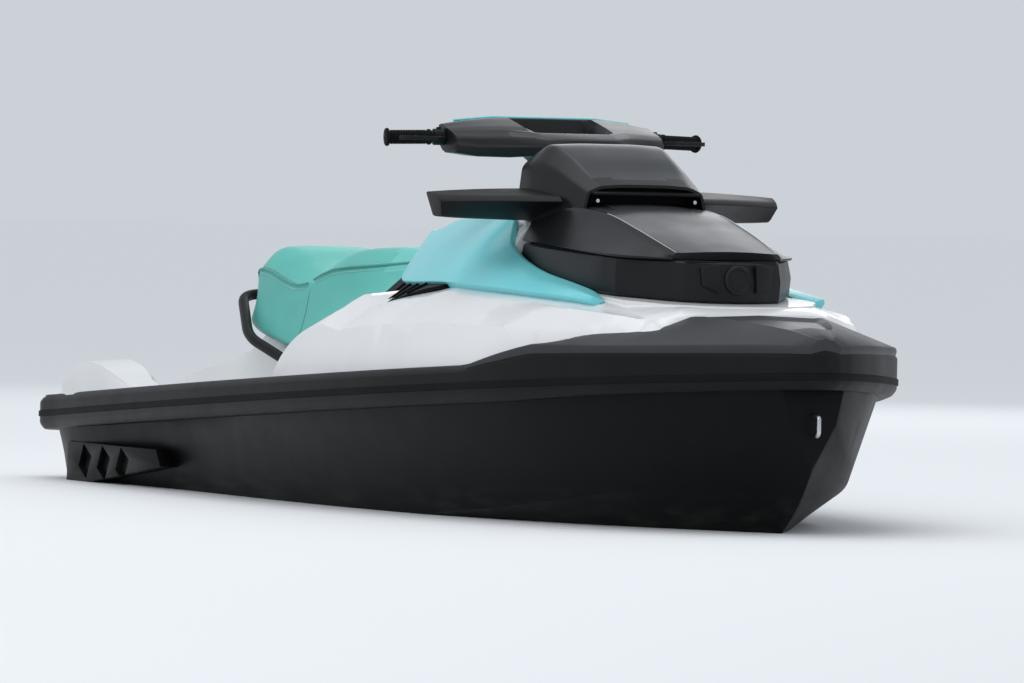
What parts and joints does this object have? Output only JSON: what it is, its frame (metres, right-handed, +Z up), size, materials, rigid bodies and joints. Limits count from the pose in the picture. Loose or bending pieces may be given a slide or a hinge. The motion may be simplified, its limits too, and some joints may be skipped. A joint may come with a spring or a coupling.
{
  "type": "personal watercraft",
  "caption": "Sit-down jet-driven personal watercraft with deadrise hull, bow bumper, tiltable hood, handlebar, stepped seat, footwells, reverse bucket and boarding step.",
  "frame": {"origin": "where the waterline meets the transom, on the centreline", "axes": "+X forward to the bow, +Y to port, +Z up from the water"},
  "size_m": [3.3191, 1.2442, 1.1688],
  "materials": {
    "hull_black": "moulded satin black",
    "bumper_black": "moulded satin black",
    "bumper_grey": "dark grey moulded",
    "deck_white": "gloss white",
    "panel_cyan": "light cyan gloss",
    "seat_teal": "teal marine vinyl",
    "hood_charcoal": "charcoal semi gloss",
    "skirt_graphite": "graphite satin",
    "trim_black": "satin black",
    "grip_rubber": "black rubber",
    "mat_grey": "grey foam mat",
    "mirror_glass": "mirror",
    "display_glass": "dark display glass",
    "stainless": "stainless steel",
    "jet_aluminium": "cast aluminium",
    "engine_metal": "plain cast block",
    "bar_black": "black painted steel"
  },
  "bodies": {
    "hull_body": {"bow_bumper": "bumper_black", "bow_bumper_cap": "bumper_grey", "bow_eye": "stainless", "deck": "deck_white", "engine": "engine_metal", "footwell_mat_port": "mat_grey", "footwell_mat_starboard": "mat_grey", "grab_handle": "trim_black", "hull": "hull_black", "intake_grate": "jet_aluminium", "platform_mats": "mat_grey", "pump_housing": "jet_aluminium", "ride_plate": "jet_aluminium", "rub_rail": "bumper_black", "seat_front": "seat_teal", "seat_rear": "seat_teal", "side_panel_port": "panel_cyan", "side_panel_starboard": "panel_cyan", "sponson_port": "hull_black", "sponson_starboard": "hull_black", "steering_cover": "trim_black", "step_brackets": "stainless", "stern_eyes": "stainless", "storage_bin": "trim_black", "tow_eye": "stainless"},
    "hood_lid": {"hood": "hood_charcoal", "hood_skirt": "skirt_graphite", "nose_disc": "skirt_graphite", "gauge_cowl": "hood_charcoal", "gauge_display": "display_glass", "mirror_port": "trim_black", "mirror_starboard": "trim_black", "mirror_glass_port": "mirror_glass", "mirror_glass_starboard": "mirror_glass"},
    "glove_lid": {"glove_box_lid": "deck_white"},
    "steering": {"handlebar": "bar_black", "handlebar_pad": "hood_charcoal", "grip_port": "grip_rubber", "grip_starboard": "grip_rubber", "brake_lever": "trim_black", "throttle_lever": "trim_black"},
    "jet_nozzle": {"steering_nozzle": "jet_aluminium"},
    "bucket": {"reverse_bucket": "jet_aluminium"},
    "jet_rotor": {"impeller": "stainless"},
    "step": {"boarding_step": "bar_black"}
  },
  "joints": [
    {"name": "hood_tilt", "type": "hinge", "parent": "hull_body", "child": "hood_lid", "pos_m": [2.94, 0, 0.5335], "axis": [0, 1, 0], "range_deg": [0, 55]},
    {"name": "glove_lid_tilt", "type": "hinge", "parent": "hull_body", "child": "glove_lid", "pos_m": [1.7386, 0, 0.6938], "axis": [0, 1, 0], "range_deg": [0, 65]},
    {"name": "steer", "type": "hinge", "parent": "hull_body", "child": "steering", "pos_m": [2.01, 0, 0.8], "axis": [-0.6018, 0, 0.7986], "range_deg": [-20, 20]},
    {"name": "nozzle_yaw", "type": "hinge", "parent": "hull_body", "child": "jet_nozzle", "pos_m": [0.2, 0, -0.045], "axis": [0, 0, 1], "range_deg": [-18, 18]},
    {"name": "bucket_drop", "type": "hinge", "parent": "hull_body", "child": "bucket", "pos_m": [0.2, 0, -0.045], "axis": [0, -1, 0], "range_deg": [0, 80]},
    {"name": "rotor_spin", "type": "hinge", "parent": "hull_body", "child": "jet_rotor", "pos_m": [0.47, 0, -0.045], "axis": [1, 0, 0], "continuous": true},
    {"name": "step_drop", "type": "hinge", "parent": "hull_body", "child": "step", "pos_m": [-0.02, 0, -0.052], "axis": [0, -1, 0], "range_deg": [0, 160]}
  ],
  "couplings": [
    {"joint": "nozzle_yaw", "follows": "steer", "ratio": -0.9}
  ]
}
